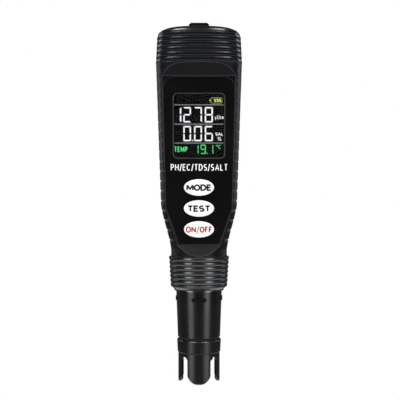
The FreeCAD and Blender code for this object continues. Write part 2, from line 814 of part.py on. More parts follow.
def collar():
    """Ring nut: ribs that narrow downwards, a bevelled foot and a lip that lifts the probe's flange."""
    top = NECK_END - NUT_GAP
    bore = SPIGOT_RADIUS + NUT_BORE_GAP
    lip_top = flange_foot()
    foot = lip_top - NUT_LIP_THICKNESS
    edges = []
    start = Vector(bore, 0, top)
    here = Vector(NUT_TIP_RADIUS - NUT_RIB_DEPTH, 0, top)
    edges.append(Part.LineSegment(start, here).toShape())
    for i in range(NUT_RIB_COUNT):
        radius = NUT_TIP_RADIUS + (NUT_FOOT_RADIUS - NUT_TIP_RADIUS) * i / (NUT_RIB_COUNT - 1)
        z = top - NUT_RIB_PITCH * i
        tip = Vector(radius, 0, z - NUT_TIP_HEIGHT)
        belly = Vector(radius - 0.1, 0, z - 0.6 * NUT_RIB_PITCH)
        valley = Vector(radius - NUT_RIB_DEPTH, 0, z - NUT_RIB_PITCH)
        edges.append(Part.LineSegment(here, tip).toShape())
        if i == NUT_RIB_COUNT - 1:
            here = tip
            break
        edges.append(Part.Arc(tip, belly, valley).toShape())
        here = valley
    corners = [
        here,
        Vector(NUT_FOOT_RADIUS - NUT_SHOULDER, 0, here.z - NUT_SHOULDER_HEIGHT),
        Vector(NUT_LIP_OUTER, 0, foot + NUT_RIM),
        Vector(NUT_LIP_OUTER, 0, foot),
        Vector(NUT_LIP_RADIUS, 0, foot),
        Vector(NUT_LIP_RADIUS, 0, lip_top),
        Vector(bore, 0, lip_top),
        start,
    ]
    for a, b in zip(corners, corners[1:]):
        edges.append(Part.LineSegment(a, b).toShape())
    face = Part.Face(Part.Wire(edges))
    return face.revolve(CENTRE, UP, 360)


def probe_seal():
    outer = SPIGOT_RADIUS - 0.2
    ring = rod(outer, flange_top(), seal_top())
    return ring.cut(rod(TUBE_PLUG_RADIUS, flange_top() - 1, seal_top() + 1))


def tube_top():
    return seal_top() + TUBE_PLUG_LENGTH


def radial_prism(wire, angle, reach):
    """Push an upright outline outwards from the axis and turn it round the pen."""
    prism = Part.Face(wire).extrude(Vector(0, -reach, 0))
    prism.rotate(CENTRE, UP, angle)
    return prism


def detent_wire():
    half = DETENT_LENGTH / 2
    return rounded_rectangle(
        half, DETENT_Z - DETENT_HEIGHT / 2, DETENT_Z + DETENT_HEIGHT / 2, DETENT_HEIGHT / 2 - 0.01,
    )


def detent_blocks(radius):
    """The four oblong blocks round the tube, from their pockets out to a radius."""
    wide = rod(radius, DETENT_Z - DETENT_HEIGHT, DETENT_Z + DETENT_HEIGHT)
    shell = wide.cut(rod(DETENT_POCKET, DETENT_Z - 9, DETENT_Z + 9))
    blocks = []
    for i in range(DETENT_COUNT):
        prism = radial_prism(detent_wire(), 360 * i / DETENT_COUNT, 2 * DETENT_RADIUS)
        blocks.append(shell.common(prism))
    return Part.makeCompound(blocks)


def stub_foot():
    return TUBE_FOOT - STUB_LENGTH


def probe_body():
    """The probe's tube: plug end, flange, tapered grip and the stub that takes the guard."""
    flange = SPIGOT_RADIUS + NUT_BORE_GAP - FLANGE_GAP
    tube = revolve([
        (TUBE_BORE, tube_top()),
        (TUBE_PLUG_RADIUS, tube_top()),
        (TUBE_PLUG_RADIUS, flange_top()),
        (flange, flange_top()),
        (flange, flange_foot()),
        (TUBE_TOP_RADIUS, flange_foot()),
        (TUBE_FOOT_RADIUS, TUBE_FOOT + 0.3),
        (TUBE_FOOT_RADIUS - 0.3, TUBE_FOOT),
        (STUB_RADIUS, TUBE_FOOT),
        (STUB_RADIUS, stub_foot()),
        (TUBE_BORE, stub_foot()),
    ])
    return tube.cut(detent_blocks(2 * DETENT_RADIUS))


def pin_places():
    places = []
    for i in range(PIN_COUNT):
        turn = 2 * math.pi * i / PIN_COUNT
        places.append((PIN_CIRCLE * math.cos(turn), PIN_CIRCLE * math.sin(turn)))
    return places


def plug_insert():
    """The disc that closes the probe's top end and holds its pins."""
    top = tube_top()
    disc = rod(TUBE_BORE - SENSOR_FIT, top - PLUG_INSERT_THICKNESS, top)
    for x, y in pin_places():
        disc = disc.cut(rod(PIN_RADIUS + SENSOR_FIT, top - 9, top + 1, x, y))
    return disc


def plug_pins():
    top = tube_top()
    return Part.makeCompound([
        rod(PIN_RADIUS, top - PLUG_INSERT_THICKNESS, top + PIN_REACH, x, y) for x, y in pin_places()
    ])


def probe_socket():
    """The socket in the neck: a flange on the barrel's floor and a plug down into the spigot."""
    floor = NECK_END + FLOOR_THICKNESS
    flange = rod(SPIGOT_BORE + SOCKET_FLANGE, floor, floor + SOCKET_FLANGE_THICKNESS)
    flange = behind_front(flange, WALL + SOCKET_GAP)
    foot = tube_top() + TUBE_PLUG_GAP
    body = flange.fuse(rod(SPIGOT_BORE - SOCKET_GAP, foot, floor + 0.2))
    for x, y in pin_places():
        body = body.cut(rod(PIN_RADIUS + RUNNING_GAP, foot - 1, tube_top() + PIN_REACH + 0.4, x, y))
    return body.removeSplitter()


def sensor_ribbon():
    """Flat lead from the socket's top up to the board's foot."""
    bottom = NECK_END + FLOOR_THICKNESS + SOCKET_FLANGE_THICKNESS
    tilt = math.radians(PANEL_TILT)
    top = BOARD_BOTTOM * math.cos(tilt)
    y = panel_y(BOARD_BOTTOM, BOARD_FRONT) + 0.25
    ribbon = box(-RIBBON_HALF_WIDTH, RIBBON_HALF_WIDTH, y, y + RIBBON_THICKNESS, bottom, top + 2)
    return ribbon.cut(main_board())


def gasket_foot():
    return TUBE_FOOT - GASKET_THICKNESS


def guard_gasket():
    ring = rod(GASKET_RADIUS, gasket_foot(), TUBE_FOOT)
    ring = ring.makeFillet(0.3, [e for e in ring.Edges if len(e.Vertexes) == 1])
    return ring.cut(rod(STUB_RADIUS, gasket_foot() - 1, TUBE_FOOT + 1))


def sensor_guard():
    """Ring with a skirt cut into four round-ended tongues."""
    top = gasket_foot()
    foot = top - RING_HEIGHT
    bore = STUB_RADIUS + RUNNING_GAP
    inner = TONGUE_RADIUS - TONGUE_THICKNESS
    ring = revolve([
        (bore, top),
        (RING_TOP_RADIUS - RING_CHAMFER, top),
        (RING_TOP_RADIUS, top - RING_CHAMFER),
        (RING_FOOT_RADIUS, foot + RING_CHAMFER),
        (RING_FOOT_RADIUS - RING_CHAMFER, foot),
        (inner, foot),
        (inner, stub_foot() - 0.3),
        (bore, stub_foot() - 0.3),
    ])
    skirt = rod(TONGUE_RADIUS, foot - TONGUE_LENGTH, foot + 0.1)
    rim = [e for e in skirt.Edges if abs(e.CenterOfMass.z - skirt.BoundBox.ZMin) < 1e-6]
    skirt = skirt.makeFillet(TONGUE_EDGE, rim)
    skirt = skirt.cut(rod(inner, foot - TONGUE_LENGTH - 1, foot + 1))
    arch = foot - SLOT_DROP - SLOT_WIDTH / 2
    reach = 2 * TONGUE_RADIUS
    for i in range(TONGUE_COUNT):
        angle = 360 * (i + 0.5) / TONGUE_COUNT
        slot = box(-SLOT_WIDTH / 2, SLOT_WIDTH / 2, -reach, 0, foot - TONGUE_LENGTH - 1, arch)
        slot = slot.fuse(Part.makeCylinder(SLOT_WIDTH / 2, reach, Vector(0, -reach, arch), Vector(0, 1, 0)))
        slot.rotate(CENTRE, UP, angle)
        skirt = skirt.cut(slot)
    end = foot - TONGUE_LENGTH + TONGUE_ROUND
    rounds = []
    for i in range(TONGUE_COUNT):
        block = box(-TONGUE_ROUND, TONGUE_ROUND, -reach, 0, end, foot - SLOT_DROP - SLOT_WIDTH / 2 - 1)
        tip = Part.makeCylinder(TONGUE_ROUND, reach, Vector(0, -reach, end), Vector(0, 1, 0))
        shape = block.fuse(tip)
        shape.rotate(CENTRE, UP, 360 * i / TONGUE_COUNT)
        rounds.append(shape)
    keep = rounds[0].multiFuse(rounds[1:])
    keep = keep.fuse(rod(reach, foot - SLOT_DROP - SLOT_WIDTH / 2 - 1.5, foot + 1))
    return ring.fuse(skirt.common(keep)).removeSplitter()


def boss_foot():
    return stub_foot() - BOSS_LENGTH


def side_sensors():
    """Place and radius of each round sensor beside the bulb."""
    return [
        (ELECTRODE_X, ELECTRODE_Y, ELECTRODE_RADIUS),
        (-ELECTRODE_X, ELECTRODE_Y, ELECTRODE_RADIUS),
        (-SIDE_SENSOR_X, SIDE_SENSOR_Y, THERMISTOR_RADIUS),
        (SIDE_SENSOR_X, SIDE_SENSOR_Y, JUNCTION_RADIUS),
    ]


def sensor_boss():
    """The end plug that holds the sensors, with a bevelled foot and a flat on its left side."""
    top = stub_foot()
    foot = boss_foot()
    boss = revolve([
        (0, top + BOSS_INSERT),
        (TUBE_BORE - SENSOR_FIT, top + BOSS_INSERT),
        (TUBE_BORE - SENSOR_FIT, top),
        (TUBE_BORE + 0.1, top),
        (TUBE_BORE + 0.1, top - BOSS_FLANGE),
        (BOSS_RADIUS, top - BOSS_FLANGE),
        (BOSS_RADIUS, foot + BOSS_CHAMFER),
        (BOSS_RADIUS - BOSS_CHAMFER, foot),
        (0, foot),
    ])
    boss = boss.cut(box(-2 * BOSS_RADIUS, -BOSS_FLAT, -TUBE_BORE, TUBE_BORE, foot - 1, top - BOSS_FLANGE))
    boss = boss.cut(rod(STEM_RADIUS + SENSOR_FIT, foot - 1, top + BOSS_INSERT + 1))
    for x, y, radius in side_sensors():
        boss = boss.cut(rod(radius + SENSOR_FIT, foot - 1, top + BOSS_INSERT + 1, x, y))
    return boss


def glass_electrode():
    """A glass stem that swells into the thin sensing bulb."""
    centre = boss_foot() - BULB_DROP
    inner = STEM_RADIUS - STEM_WALL
    hollow = BULB_RADIUS - BULB_WALL
    outside = math.sqrt(BULB_RADIUS ** 2 - STEM_RADIUS ** 2)
    inside = math.sqrt(hollow ** 2 - inner ** 2)
    edges = [
        Part.LineSegment(Vector(inner, 0, STEM_TOP), Vector(STEM_RADIUS, 0, STEM_TOP)).toShape(),
        Part.LineSegment(
            Vector(STEM_RADIUS, 0, STEM_TOP), Vector(STEM_RADIUS, 0, centre + outside)
        ).toShape(),
        Part.Arc(
            Vector(STEM_RADIUS, 0, centre + outside),
            Vector(BULB_RADIUS, 0, centre),
            Vector(0, 0, centre - BULB_RADIUS),
        ).toShape(),
        Part.LineSegment(Vector(0, 0, centre - BULB_RADIUS), Vector(0, 0, centre - hollow)).toShape(),
        Part.Arc(
            Vector(0, 0, centre - hollow),
            Vector(hollow, 0, centre),
            Vector(inner, 0, centre + inside),
        ).toShape(),
        Part.LineSegment(Vector(inner, 0, centre + inside), Vector(inner, 0, STEM_TOP)).toShape(),
    ]
    return Part.Face(Part.Wire(edges)).revolve(CENTRE, UP, 360)


def silver_wire():
    return rod(WIRE_RADIUS, boss_foot() - BULB_DROP, tube_top() - PLUG_INSERT_THICKNESS)


def conductivity_electrodes():
    top = stub_foot() + BOSS_INSERT
    foot = boss_foot() - ELECTRODE_REACH
    return Part.makeCompound([
        rod(ELECTRODE_RADIUS, foot, top, x, ELECTRODE_Y) for x in (-ELECTRODE_X, ELECTRODE_X)
    ])


def temperature_sensor():
    foot = boss_foot() - THERMISTOR_REACH
    can = rod(THERMISTOR_RADIUS, foot, stub_foot() + BOSS_INSERT, -SIDE_SENSOR_X, SIDE_SENSOR_Y)
    end = [e for e in can.Edges if abs(e.CenterOfMass.z - foot) < 1e-6]
    return can.makeFillet(THERMISTOR_RADIUS * 0.7, end)


def reference_junction():
    foot = boss_foot() - JUNCTION_REACH
    return rod(JUNCTION_RADIUS, foot, stub_foot() + BOSS_INSERT, SIDE_SENSOR_X, SIDE_SENSOR_Y)


def reference_sleeve():
    base = stub_foot() + BOSS_INSERT
    sleeve = rod(TUBE_BORE - SENSOR_FIT, base, base + SLEEVE_LENGTH)
    return sleeve.cut(rod(TUBE_BORE - SENSOR_FIT - SLEEVE_WALL, base - 1, base + SLEEVE_LENGTH + 1))


os.makedirs("parts", exist_ok=True)
export("housing", housing())
export("battery_cap", battery_cap())
export("cap_ring", cap_ring())
export("cap_strip", cap_strip())
export("front_plate", front_plate())
export("display_lens", display_lens())
export("mode_key", key(0))
export("hold_key", key(1))
export("power_key", key(2))
export("lcd_glass", lcd_glass())
export("lcd_backlight", lcd_backlight())
export("lcd_frame", lcd_frame())
export("lcd_pins", lcd_pins())
export("main_board", main_board())
export("switch_bodies", switch_bodies())
export("switch_plungers", switch_plungers())
export("board_chips", board_chips())
export("crystal_can", crystal_can())
export("battery_tray", battery_tray())
export("tray_contacts", tray_contacts())
export("cell_spring", cell_spring())
export("left_cell", cell(-1, True))
export("right_cell", cell(1, False))
export("probe_socket", probe_socket())
export("sensor_ribbon", sensor_ribbon())
export("collar", collar())
export("probe_body", probe_body())
export("detent_pads", detent_blocks(DETENT_RADIUS))
export("probe_seal", probe_seal())
export("plug_insert", plug_insert())
export("plug_pins", plug_pins())
export("guard_gasket", guard_gasket())
export("sensor_guard", sensor_guard())
export("sensor_boss", sensor_boss())
export("glass_electrode", glass_electrode())
export("silver_wire", silver_wire())
export("conductivity_electrodes", conductivity_electrodes())
export("temperature_sensor", temperature_sensor())
export("reference_junction", reference_junction())
export("reference_sleeve", reference_sleeve())
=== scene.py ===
import math

import bmesh
import bpy
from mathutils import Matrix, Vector


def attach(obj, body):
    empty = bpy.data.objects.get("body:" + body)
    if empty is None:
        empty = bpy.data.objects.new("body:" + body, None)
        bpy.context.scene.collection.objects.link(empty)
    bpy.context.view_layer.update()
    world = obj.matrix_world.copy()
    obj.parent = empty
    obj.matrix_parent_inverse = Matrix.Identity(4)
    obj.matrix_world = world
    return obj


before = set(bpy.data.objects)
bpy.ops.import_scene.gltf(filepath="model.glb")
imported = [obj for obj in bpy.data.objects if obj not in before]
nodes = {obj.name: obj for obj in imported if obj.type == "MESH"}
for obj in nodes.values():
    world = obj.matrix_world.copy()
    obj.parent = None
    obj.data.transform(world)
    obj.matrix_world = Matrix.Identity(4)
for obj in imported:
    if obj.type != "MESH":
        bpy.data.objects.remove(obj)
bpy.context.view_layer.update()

# Studio. The pen is held upright over a round pale table top, in front of a plain white wall.
# Two low soft boxes stand left and right of the camera, two hang above the pen with a gap between
# them, and two bluish ones behind it light its sides.
scene = bpy.context.scene
scene.view_settings.view_transform = "Standard"

# The camera's place, the width that it sees at the pen, and its sensor, all in millimetres
MM = 0.001
CAMERA_RIGHT = 0.468
CAMERA_DISTANCE = 350.0
CAMERA_HEIGHT = -18.7
CAMERA_FIELD = 187.2
SENSOR_WIDTH = 36.0

camera_data = bpy.data.cameras.new("front_camera")
camera_data.sensor_width = SENSOR_WIDTH
camera_data.lens = SENSOR_WIDTH * CAMERA_DISTANCE / CAMERA_FIELD
camera_data.clip_start = 0.01
camera = bpy.data.objects.new("front_camera", camera_data)
camera.location = (CAMERA_RIGHT * MM, -CAMERA_DISTANCE * MM, CAMERA_HEIGHT * MM)
camera.rotation_euler = (math.radians(90), 0, 0)
scene.collection.objects.link(camera)
scene.camera = camera


def soft_box(name, place, size, power, colour=(1, 1, 1)):
    """A flat rectangular light that faces the pen; metres and watts."""
    lamp = bpy.data.lights.new(name, "AREA")
    lamp.shape = "RECTANGLE"
    lamp.size, lamp.size_y = size
    lamp.energy = power
    lamp.color = colour
    body = bpy.data.objects.new(name, lamp)
    body.location = place
    body.rotation_euler = (-Vector(place)).to_track_quat("-Z", "Y").to_euler()
    scene.collection.objects.link(body)


def around(azimuth, distance, height):
    """A place round the pen, with the azimuth in degrees to the right of the camera."""
    turn = math.radians(azimuth)
    return (math.sin(turn) * distance, -math.cos(turn) * distance, height)


FRONT_SIZE = (0.32, 0.36)
FRONT_POWER = 1.75
TOP_SIZE = (0.28, 0.15)
TOP_POWER = 3.0
BACK_SIZE = (0.4, 0.6)
BACK_POWER = 1.8
COOL = (0.82, 0.9, 1.0)
soft_box("left_box", around(-42, 0.75, -0.12), FRONT_SIZE, FRONT_POWER)
soft_box("right_box", around(42, 0.75, -0.12), FRONT_SIZE, FRONT_POWER)
soft_box("top_left_box", (-0.25, -0.16, 0.6), TOP_SIZE, TOP_POWER)
soft_box("top_right_box", (0.25, -0.16, 0.6), TOP_SIZE, TOP_POWER)
soft_box("back_left_box", around(-122, 0.8, 0.2), BACK_SIZE, BACK_POWER, COOL)
soft_box("back_right_box", around(122, 0.8, 0.2), BACK_SIZE, BACK_POWER, COOL)


def math_node(tree, operation, second=None):
    """A node that works out one sum; second is typed into it where no other node gives it."""
    made = tree.nodes.new("ShaderNodeMath")
    made.operation = operation
    if second is not None:
        made.inputs[1].default_value = second
    return made


# The wall is fully white where it is seen, dim in reflections and half bright on matt surfaces
WALL_IN_REFLECTIONS = 0.09
WALL_ON_MATT = 0.48
world = bpy.data.worlds.new("white_wall")
scene.world = world
world.use_nodes = True
tree = world.node_tree
tree.nodes.clear()
rays = tree.nodes.new("ShaderNodeLightPath")
seen = math_node(tree, "MAXIMUM")
mirrored = math_node(tree, "MULTIPLY", WALL_IN_REFLECTIONS)
seen_or_mirrored = math_node(tree, "MAXIMUM")
matt = math_node(tree, "MULTIPLY", WALL_ON_MATT)
strength = math_node(tree, "MAXIMUM")
wall = tree.nodes.new("ShaderNodeBackground")
wall.inputs["Color"].default_value = (1, 1, 1, 1)
out = tree.nodes.new("ShaderNodeOutputWorld")
tree.links.new(rays.outputs["Is Camera Ray"], seen.inputs[0])
tree.links.new(rays.outputs["Is Transmission Ray"], seen.inputs[1])
tree.links.new(rays.outputs["Is Glossy Ray"], mirrored.inputs[0])
tree.links.new(seen.outputs[0], seen_or_mirrored.inputs[0])
tree.links.new(mirrored.outputs[0], seen_or_mirrored.inputs[1])
tree.links.new(seen_or_mirrored.outputs[0], strength.inputs[0])
tree.links.new(rays.outputs["Is Diffuse Ray"], matt.inputs[0])
tree.links.new(matt.outputs[0], strength.inputs[1])
tree.links.new(strength.outputs[0], wall.inputs["Strength"])
tree.links.new(wall.outputs[0], out.inputs["Surface"])


def new_material(name):
    """A new material, with its node tree and its main shader."""
    made = bpy.data.materials.new(name)
    made.use_nodes = True
    tree = made.node_tree
    shader = next(n for n in tree.nodes if n.type == "BSDF_PRINCIPLED")
    return made, tree, shader


TABLE_RADIUS = 0.5
TABLE_HEIGHT = -0.32
table_data = bpy.data.meshes.new("table_top")
shape = bmesh.new()
bmesh.ops.create_circle(shape, cap_ends=True, radius=TABLE_RADIUS, segments=96)
shape.to_mesh(table_data)
shape.free()
table_top = bpy.data.objects.new("table_top", table_data)
table_top.location = (0, 0, TABLE_HEIGHT)
scene.collection.objects.link(table_top)
table_paint, tree, shader = new_material("table_paint")
grain = tree.nodes.new("ShaderNodeTexNoise")
grain.inputs["Scale"].default_value = 40
ramp = tree.nodes.new("ShaderNodeValToRGB")
ramp.color_ramp.elements[0].color = (0.86, 0.86, 0.86, 1)
ramp.color_ramp.elements[1].color = (0.9, 0.9, 0.9, 1)
tree.links.new(grain.outputs["Fac"], ramp.inputs["Fac"])
tree.links.new(ramp.outputs["Color"], shader.inputs["Base Color"])
shader.inputs["Roughness"].default_value = 0.8
table_data.materials.append(table_paint)

# Housing. One barrel injection moulded in near-black satin plastic, with grip notches down both
# sides and a threaded spigot under the neck. Everything else is fixed in it or clamped to it.
GRAIN_SHARE = 0.35
GRAIN_DEPTH = 0.05 * MM
SMUDGE_STARTS = 0.35
SMUDGE_FULL = 0.65


def colour_mix(tree, first=None, second=None):
    """A node that blends from one colour to another; colours not given here are linked to it."""
    made = tree.nodes.new("ShaderNodeMix")
    made.data_type = "RGBA"
    if first:
        made.inputs["A"].default_value = (*first, 1)
    if second:
        made.inputs["B"].default_value = (*second, 1)
    return made


def build_moulded_skin():
    """Fine spark-eroded grain with faint handling smudges: a colour, a roughness and a height."""
    group = bpy.data.node_groups.new("moulded_skin", "ShaderNodeTree")
    for name, kind in (
        ("Vector", "Vector"), ("Colour", "Color"), ("Worn Colour", "Color"), ("Grain Size", "Float"),
        ("Smudge Size", "Float"), ("Smooth", "Float"), ("Rough", "Float"),
    ):
        group.interface.new_socket(name, in_out="INPUT", socket_type="NodeSocket" + kind)
    for name, kind in (("Colour", "Color"), ("Roughness", "Float"), ("Height", "Float")):
        group.interface.new_socket(name, in_out="OUTPUT", socket_type="NodeSocket" + kind)
    start = group.nodes.new("NodeGroupInput")
    end = group.nodes.new("NodeGroupOutput")
    fine = group.nodes.new("ShaderNodeTexNoise")
    fine.inputs["Detail"].default_value = 3
    broad = group.nodes.new("ShaderNodeTexNoise")
    broad.inputs["Detail"].default_value = 4
    smudge = group.nodes.new("ShaderNodeMapRange")
    smudge.inputs["From Min"].default_value = SMUDGE_STARTS
    smudge.inputs["From Max"].default_value = SMUDGE_FULL
    blend = colour_mix(group)
    both = math_node(group, "MULTIPLY_ADD", GRAIN_SHARE)
    roughness = group.nodes.new("ShaderNodeMapRange")
    roughness.inputs["From Max"].default_value = 1 + GRAIN_SHARE
    link = group.links.new
    link(start.outputs["Vector"], fine.inputs["Vector"])
    link(start.outputs["Vector"], broad.inputs["Vector"])
    link(start.outputs["Grain Size"], fine.inputs["Scale"])
    link(start.outputs["Smudge Size"], broad.inputs["Scale"])
    link(broad.outputs["Fac"], smudge.inputs["Value"])
    link(fine.outputs["Fac"], both.inputs[0])
    link(smudge.outputs["Result"], both.inputs[2])
    link(smudge.outputs["Result"], blend.inputs["Factor"])
    link(start.outputs["Colour"], blend.inputs["A"])
    link(start.outputs["Worn Colour"], blend.inputs["B"])
    link(both.outputs[0], roughness.inputs["Value"])
    link(start.outputs["Smooth"], roughness.inputs["To Min"])
    link(start.outputs["Rough"], roughness.inputs["To Max"])
    link(blend.outputs["Result"], end.inputs["Colour"])
    link(roughness.outputs["Result"], end.inputs["Roughness"])
    link(fine.outputs["Fac"], end.inputs["Height"])
    return group


moulded_skin = build_moulded_skin()

# How far the rounded surface agrees with the flat one where a corner's painted highlight starts and is
# full
HIGHLIGHT_STARTS = 0.998
HIGHLIGHT_FULL = 0.988


def round_corners(tree, shader, skin, relief, radius, edge_highlight):
    """Shade the corners as if rounded, and where asked paint a lighter highlight colour along them."""
    corners = tree.nodes.new("ShaderNodeBevel")
    corners.samples = 6
    corners.inputs["Radius"].default_value = radius * MM
    tree.links.new(corners.outputs["Normal"], relief.inputs["Normal"])
    # Painted highlight: the corners get a lighter colour where the rounded normal turns away from the
    # flat one, standing in for light caught on the edge.
    if edge_highlight:
        surface = tree.nodes.new("ShaderNodeNewGeometry")
        across = tree.nodes.new("ShaderNodeVectorMath")
        across.operation = "DOT_PRODUCT"
        highlight_share = tree.nodes.new("ShaderNodeMapRange")
        highlight_share.inputs["From Min"].default_value = HIGHLIGHT_STARTS
        highlight_share.inputs["From Max"].default_value = HIGHLIGHT_FULL
        paint = colour_mix(tree, second=edge_highlight)
        tree.links.new(corners.outputs["Normal"], across.inputs[0])
        tree.links.new(surface.outputs["Normal"], across.inputs[1])
        tree.links.new(across.outputs["Value"], highlight_share.inputs["Value"])
        tree.links.new(highlight_share.outputs["Result"], paint.inputs["Factor"])
        tree.links.new(skin.outputs["Colour"], paint.inputs["A"])
        tree.links.new(paint.outputs["Result"], shader.inputs["Base Color"])


def skin_material(
    name, colour, worn, grain, smudge, smooth, rough, bump, specular, edge=0.0, edge_highlight=None,
):
    """A plastic, rubber or painted finish; edge is the radius of its corners in millimetres, and the
    colour given last paints a highlight along them.
    """
    made, tree, shader = new_material(name)
    place = tree.nodes.new("ShaderNodeTexCoord")
    skin = tree.nodes.new("ShaderNodeGroup")
    skin.node_tree = moulded_skin
    skin.inputs["Colour"].default_value = (*colour, 1)
    skin.inputs["Worn Colour"].default_value = (*worn, 1)
    skin.inputs["Grain Size"].default_value = grain
    skin.inputs["Smudge Size"].default_value = smudge
    skin.inputs["Smooth"].default_value = smooth
    skin.inputs["Rough"].default_value = rough
    relief = tree.nodes.new("ShaderNodeBump")
    relief.inputs["Strength"].default_value = bump
    relief.inputs["Distance"].default_value = GRAIN_DEPTH
    tree.links.new(place.outputs["Object"], skin.inputs["Vector"])
    tree.links.new(skin.outputs["Colour"], shader.inputs["Base Color"])
    tree.links.new(skin.outputs["Roughness"], shader.inputs["Roughness"])
    tree.links.new(skin.outputs["Height"], relief.inputs["Height"])
    tree.links.new(relief.outputs["Normal"], shader.inputs["Normal"])
    shader.inputs["Specular IOR Level"].default_value = specular
    if edge:
        round_corners(tree, shader, skin, relief, edge, edge_highlight)
    return made


def dress(material, *names):
    """Give these nodes a finished material in place of their plain one."""
    for name in names:
        piece = nodes[name]
        piece.data.materials.clear()
        piece.data.materials.append(material)


# The barrel's corners carry a painted highlight: a light grey along the scoop arc and edges in place of
# light caught on them.
barrel_plastic = skin_material(
    "barrel_plastic", colour=(0.0035, 0.0037, 0.0045), worn=(0.005, 0.0053, 0.0062),
    grain=9000, smudge=70, smooth=0.36, rough=0.46, bump=0.2, specular=0.11, edge=0.25,
    edge_highlight=(0.085, 0.085, 0.088),
)
dress(barrel_plastic, "housing")

# Main board. Green glass-fibre laminate slid into the barrel's rails, with three press switches and
# the display on its front, chips and a crystal on its back, and a flat lead down to the socket.
TRACE_DENSITY = 900
TRACE_WIDTH = 0.09


def board_laminate_material():
    """Green lacquer, paler over a close maze of copper tracks."""
    made, tree, shader = new_material("board_laminate")
    place = tree.nodes.new("ShaderNodeTexCoord")
    cells = tree.nodes.new("ShaderNodeTexVoronoi")
    cells.feature = "DISTANCE_TO_EDGE"
    cells.inputs["Scale"].default_value = TRACE_DENSITY
    track = math_node(tree, "LESS_THAN", TRACE_WIDTH)
    paint = colour_mix(tree, (0.012, 0.09, 0.035), (0.03, 0.2, 0.08))
    relief = tree.nodes.new("ShaderNodeBump")
    relief.inputs["Strength"].default_value = 0.3
    relief.inputs["Distance"].default_value = GRAIN_DEPTH
    tree.links.new(place.outputs["Object"], cells.inputs["Vector"])
    tree.links.new(cells.outputs["Distance"], track.inputs[0])
    tree.links.new(track.outputs[0], paint.inputs["Factor"])
    tree.links.new(paint.outputs["Result"], shader.inputs["Base Color"])
    tree.links.new(track.outputs[0], relief.inputs["Height"])
    tree.links.new(relief.outputs["Normal"], shader.inputs["Normal"])
    shader.inputs["Roughness"].default_value = 0.35
    return made


def metal_material(name, colour, worn, grain, smooth, rough):
    """Sheet, wire or tube metal with a drawn grain and dulled patches."""
    made = skin_material(
        name, colour, worn, grain, smudge=260, smooth=smooth, rough=rough, bump=0.12, specular=0.5,
    )
    shader = next(n for n in made.node_tree.nodes if n.type == "BSDF_PRINCIPLED")
    shader.inputs["Metallic"].default_value = 1.0
    return made


dress(board_laminate_material(), "main_board")
tinned_sheet = metal_material(
    "switch_metal", colour=(0.55, 0.55, 0.54), worn=(0.42, 0.42, 0.42),
    grain=2600, smooth=0.28, rough=0.42,
)
dress(tinned_sheet, "switch_bodies", "crystal_can")
white_moulding = skin_material(
    "frame_plastic", colour=(0.72, 0.72, 0.7), worn=(0.66, 0.66, 0.63),
    grain=5000, smudge=90, smooth=0.4, rough=0.55, bump=0.15, specular=0.4,
)
dress(white_moulding, "switch_plungers", "lcd_frame")
chip_epoxy = skin_material(
    "chip_plastic", colour=(0.012, 0.012, 0.012), worn=(0.02, 0.02, 0.02),
    grain=7000, smudge=200, smooth=0.5, rough=0.7, bump=0.4, specular=0.3,
)
dress(chip_epoxy, "board_chips")
ribbon_film = skin_material(
    "ribbon_film", colour=(0.32, 0.17, 0.035), worn=(0.4, 0.24, 0.06),
    grain=1800, smudge=500, smooth=0.25, rough=0.4, bump=0.2, specular=0.5,
)
dress(ribbon_film, "sensor_ribbon")

# Display. A glass panel with its light behind and a white frame round it stands on the board's front.
# It is seen through a clear lens, which has a black film with the lit segments bonded to its back.
# The slanted front lies FRONT_DEPTH before the axis at height 0; PROUD values are heights above it.
TILT = math.radians(3.13)
FRONT_DEPTH = 11.46
LENS_PROUD = 0.235
FILM_PROUD = -1.145
SEGMENT_PROUD = -1.13
FILM_THICKNESS = 0.01
LINE_THICKNESS = 0.02
PRINT_LIFT = 0.01
SEGMENT_GLOW = 0.45


def on_front(x, z, proud):
    """A point on the slanted front, in metres; x and z are millimetres, z up the pen."""
    rise = z / math.cos(TILT)
    y = -FRONT_DEPTH - rise * math.sin(TILT) - proud * math.cos(TILT)
    return Vector((x, y, z - proud * math.sin(TILT))) * MM


def finish_piece(name, mesh, body, material):
    """Turn a drawn mesh into a piece of the scene that rides on a body."""
    data = bpy.data.meshes.new(name)
    mesh.to_mesh(data)
    mesh.free()
    data.materials.append(material)
    piece = bpy.data.objects.new(name, data)
    scene.collection.objects.link(piece)
    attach(piece, body)


def flat_piece(name, loops, proud, body, material):
    """Thin plates with these outlines (lists of x, z in millimetres) lying on the slanted front."""
    mesh = bmesh.new()
    for loop in loops:
        low = [mesh.verts.new(on_front(x, z, proud)) for x, z in loop]
        high = [mesh.verts.new(on_front(x, z, proud + FILM_THICKNESS)) for x, z in loop]
        mesh.faces.new(high)
        mesh.faces.new(list(reversed(low)))
        for i in range(len(loop)):
            j = (i + 1) % len(loop)
            mesh.faces.new((low[i], low[j], high[j], high[i]))
    bmesh.ops.recalc_face_normals(mesh, faces=mesh.faces)
    finish_piece(name, mesh, body, material)


def glass_material(name, colour, smooth, ior, clear):
    """Glass with a faint uneven haze."""
    made, tree, shader = new_material(name)
    place = tree.nodes.new("ShaderNodeTexCoord")
    haze = tree.nodes.new("ShaderNodeTexNoise")
    haze.inputs["Scale"].default_value = 120
    spread = tree.nodes.new("ShaderNodeMapRange")
    spread.inputs["To Min"].default_value = smooth
    spread.inputs["To Max"].default_value = smooth + 0.03
    tint = colour_mix(tree, colour, [0.97 * c for c in colour])
    tree.links.new(place.outputs["Object"], haze.inputs["Vector"])
    tree.links.new(haze.outputs["Fac"], spread.inputs["Value"])
    tree.links.new(haze.outputs["Fac"], tint.inputs["Factor"])
    tree.links.new(spread.outputs["Result"], shader.inputs["Roughness"])
    tree.links.new(tint.outputs["Result"], shader.inputs["Base Color"])
    shader.inputs["IOR"].default_value = ior
    shader.inputs["Transmission Weight"].default_value = clear
    return made


